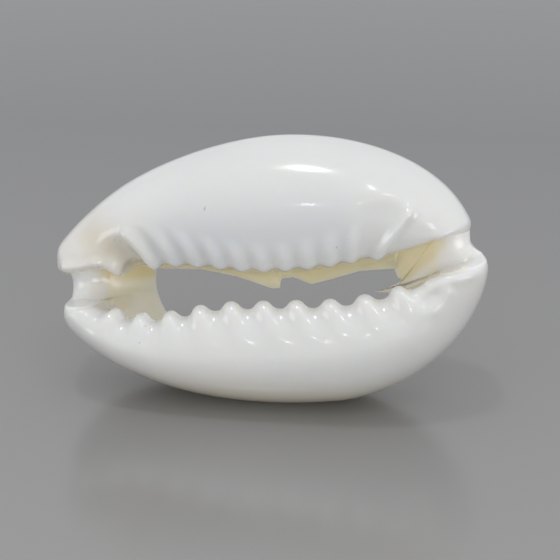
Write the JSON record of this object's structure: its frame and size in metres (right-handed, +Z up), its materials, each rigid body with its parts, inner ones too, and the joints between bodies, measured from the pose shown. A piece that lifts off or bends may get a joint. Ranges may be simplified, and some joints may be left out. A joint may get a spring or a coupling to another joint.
{
  "type": "cowrie shell",
  "caption": "Small white money cowrie with its back cut away, standing on its lower side with the toothed mouth facing out.",
  "frame": {"origin": "middle of the bounding box, on the floor that the shell stands on", "axes": "+X towards the narrow (exhalant) end, -Y out of the mouth side, +Z up"},
  "size_m": [0.022, 0.0086, 0.0133],
  "materials": {
    "shell_white": "glossy, porcelain-like, white outside and cream to ochre inside"
  },
  "bodies": {
    "root": {"shell": "shell_white"}
  },
  "joints": []
}
